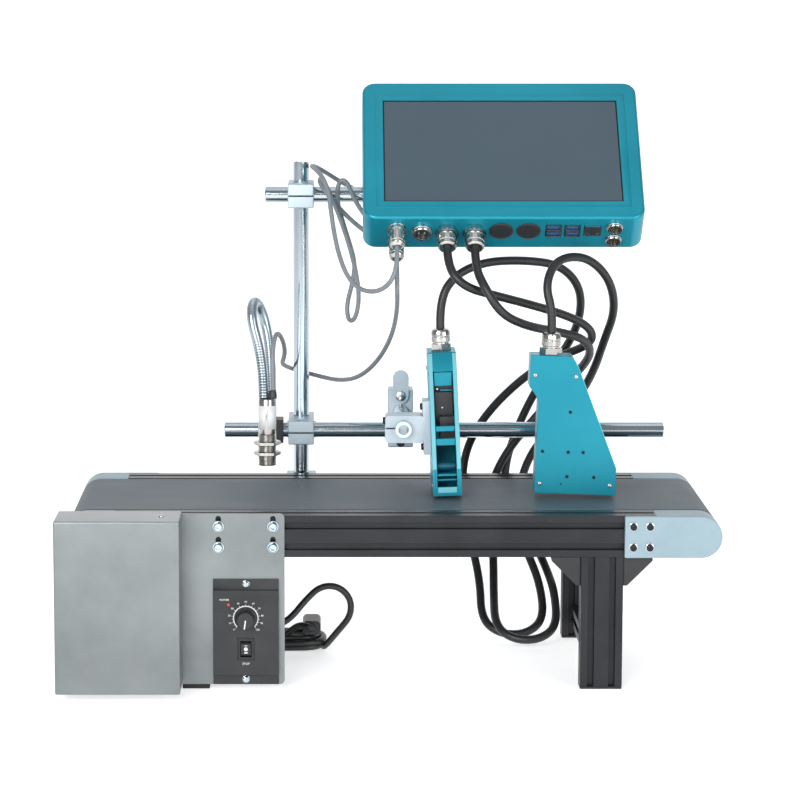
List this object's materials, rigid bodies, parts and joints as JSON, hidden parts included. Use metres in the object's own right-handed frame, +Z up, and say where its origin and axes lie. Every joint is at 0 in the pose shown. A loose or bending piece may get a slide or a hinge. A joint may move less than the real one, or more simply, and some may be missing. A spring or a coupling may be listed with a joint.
{
  "type": "date code inkjet printer",
  "caption": "Tabletop inkjet coder: belt conveyor with side-mounted speed control, print heads and a display controller on a rod stand.",
  "frame": {"origin": "middle of the footprint, cords left out, on the floor", "axes": "+X along the conveyor towards the tail end, +Y away from the operator, +Z up"},
  "size_m": [0.6279, 0.3447, 0.5649],
  "materials": {
    "black_anodised": "black anodised, satin",
    "belt_fabric": "fine fabric-backed PVC, matt",
    "grey_paint": "light grey powder coat",
    "steel": "machined steel",
    "stainless": "brushed stainless sheet",
    "motor_grey": "dark grey motor paint",
    "rubber": "black rubber",
    "black_plastic": "black moulded plastic",
    "polished": "hard chromed round bar",
    "bare_aluminium": "bead blasted aluminium",
    "teal": "teal anodised aluminium",
    "nickel": "nickel plated brass",
    "screen_glass": "dark touch screen",
    "grey_cable": "grey PVC sheath",
    "black_cable": "black sheath"
  },
  "bodies": {
    "conveyor": {"rail_front": "black_anodised", "rail_rear": "black_anodised", "slider_bed": "stainless", "conveyor_belt": "belt_fabric", "roller_end_blocks": "grey_paint", "frame_screws": "steel", "side_plate": "stainless", "drive_cover": "stainless", "gear_motor": "motor_grey", "timing_belt": "rubber", "speed_panel": "black_plastic", "leg_profiles": "black_anodised", "base_bars": "black_anodised", "leg_brackets": "black_plastic", "rubber_feet": "rubber", "post": "polished", "post_bracket": "bare_aluminium", "power_cord": "black_cable", "cord_hank": "black_cable", "power_plug": "black_plastic", "umbilical_1": "black_cable", "umbilical_2": "black_cable", "sensor_cable": "grey_cable"},
    "drive_roller_set": {"drive_roller": "steel", "roller_pulley": "bare_aluminium"},
    "tail_roller_set": {"tail_roller": "steel"},
    "motor_shaft": {"motor_pulley": "bare_aluminium"},
    "knob": {"speed_knob": "black_plastic"},
    "rocker": {"rocker_switch": "black_plastic"},
    "bar_carriage": {"lower_clamp": "bare_aluminium", "head_bar": "polished", "gooseneck_clamp": "black_plastic", "gooseneck": "nickel", "sensor_body": "nickel"},
    "display_carriage": {"upper_clamp": "bare_aluminium", "display_bar": "polished"},
    "display": {"display_housing": "teal", "display_rear_cover": "teal", "display_screen": "screen_glass", "display_tilt_clamp": "bare_aluminium", "display_connectors": "nickel", "display_sockets": "black_plastic", "display_lead": "grey_cable", "spare_lead": "grey_cable"},
    "head_1_saddle": {"head_1_saddle": "bare_aluminium"},
    "head_1_lever": {"head_1_lever": "bare_aluminium"},
    "head_1_arm": {"head_1_arm": "polished"},
    "head_1": {"head_1_housing": "teal", "head_1_side_cover": "teal", "head_1_contact_block": "black_plastic", "head_1_gland": "nickel", "head_1_clamp": "bare_aluminium"},
    "head_2_saddle": {"head_2_saddle": "bare_aluminium"},
    "head_2_lever": {"head_2_lever": "bare_aluminium"},
    "head_2_arm": {"head_2_arm": "polished"},
    "head_2": {"head_2_housing": "teal", "head_2_side_cover": "teal", "head_2_contact_block": "black_plastic", "head_2_gland": "nickel", "head_2_clamp": "bare_aluminium"}
  },
  "joints": [
    {"name": "drive_roller_turn", "type": "hinge", "parent": "conveyor", "child": "drive_roller_set", "pos_m": [-0.288, -0.01268, 0.148], "axis": [0, 1, 0], "continuous": true},
    {"name": "tail_roller_turn", "type": "hinge", "parent": "conveyor", "child": "tail_roller_set", "pos_m": [0.294, -0.01268, 0.148], "axis": [0, 1, 0], "continuous": true},
    {"name": "motor_shaft_turn", "type": "hinge", "parent": "conveyor", "child": "motor_shaft", "pos_m": [-0.245, -0.11267, 0.062], "axis": [0, 1, 0], "continuous": true},
    {"name": "speed_knob_turn", "type": "hinge", "parent": "conveyor", "child": "knob", "pos_m": [-0.1367, -0.12168, 0.071], "axis": [0, 1, 0], "range_deg": [0, 270]},
    {"name": "rocker_tilt", "type": "hinge", "parent": "conveyor", "child": "rocker", "pos_m": [-0.1367, -0.11828, 0.041], "axis": [1, 0, 0], "range_deg": [-10, 10]},
    {"name": "head_bar_height", "type": "slide", "parent": "conveyor", "child": "bar_carriage", "axis": [0, 0, 1], "range_m": [0, 0.03]},
    {"name": "display_height", "type": "slide", "parent": "conveyor", "child": "display_carriage", "axis": [0, 0, 1], "range_m": [-0.01, 0.015], "deforming": ["umbilical_1", "umbilical_2", "sensor_cable"]},
    {"name": "display_tilt", "type": "hinge", "parent": "display_carriage", "child": "display", "pos_m": [0.113, 0.12033, 0.454], "axis": [1, 0, 0], "range_deg": [-15, 10]},
    {"name": "head_1_shift", "type": "slide", "parent": "bar_carriage", "child": "head_1_saddle", "axis": [1, 0, 0], "range_m": [-0.03, 0.02]},
    {"name": "head_1_lever_turn", "type": "hinge", "parent": "head_1_saddle", "child": "head_1_lever", "pos_m": [0.015, 0.10633, 0.2515], "axis": [0, 1, 0], "range_deg": [-90, 0]},
    {"name": "head_1_reach", "type": "slide", "parent": "head_1_saddle", "child": "head_1_arm", "axis": [0, 1, 0], "range_m": [-0.02, 0.02]},
    {"name": "head_1_tilt", "type": "hinge", "parent": "head_1_arm", "child": "head_1", "pos_m": [0.015, 0.03732, 0.234], "axis": [0, 1, 0], "range_deg": [-1.5, 1.5]},
    {"name": "head_2_shift", "type": "slide", "parent": "bar_carriage", "child": "head_2_saddle", "axis": [1, 0, 0], "range_m": [-0.02, 0.04]},
    {"name": "head_2_lever_turn", "type": "hinge", "parent": "head_2_saddle", "child": "head_2_lever", "pos_m": [0.182, 0.10633, 0.2515], "axis": [0, 1, 0], "range_deg": [-90, 0]},
    {"name": "head_2_reach", "type": "slide", "parent": "head_2_saddle", "child": "head_2_arm", "axis": [0, 1, 0], "range_m": [-0.02, 0.02]},
    {"name": "head_2_tilt", "type": "hinge", "parent": "head_2_arm", "child": "head_2", "pos_m": [0.182, 0.03732, 0.234], "axis": [0, 1, 0], "range_deg": [-1.5, 1.5]}
  ],
  "couplings": [
    {"joint": "tail_roller_turn", "follows": "drive_roller_turn", "ratio": 1},
    {"joint": "motor_shaft_turn", "follows": "drive_roller_turn", "ratio": 1.2308}
  ]
}
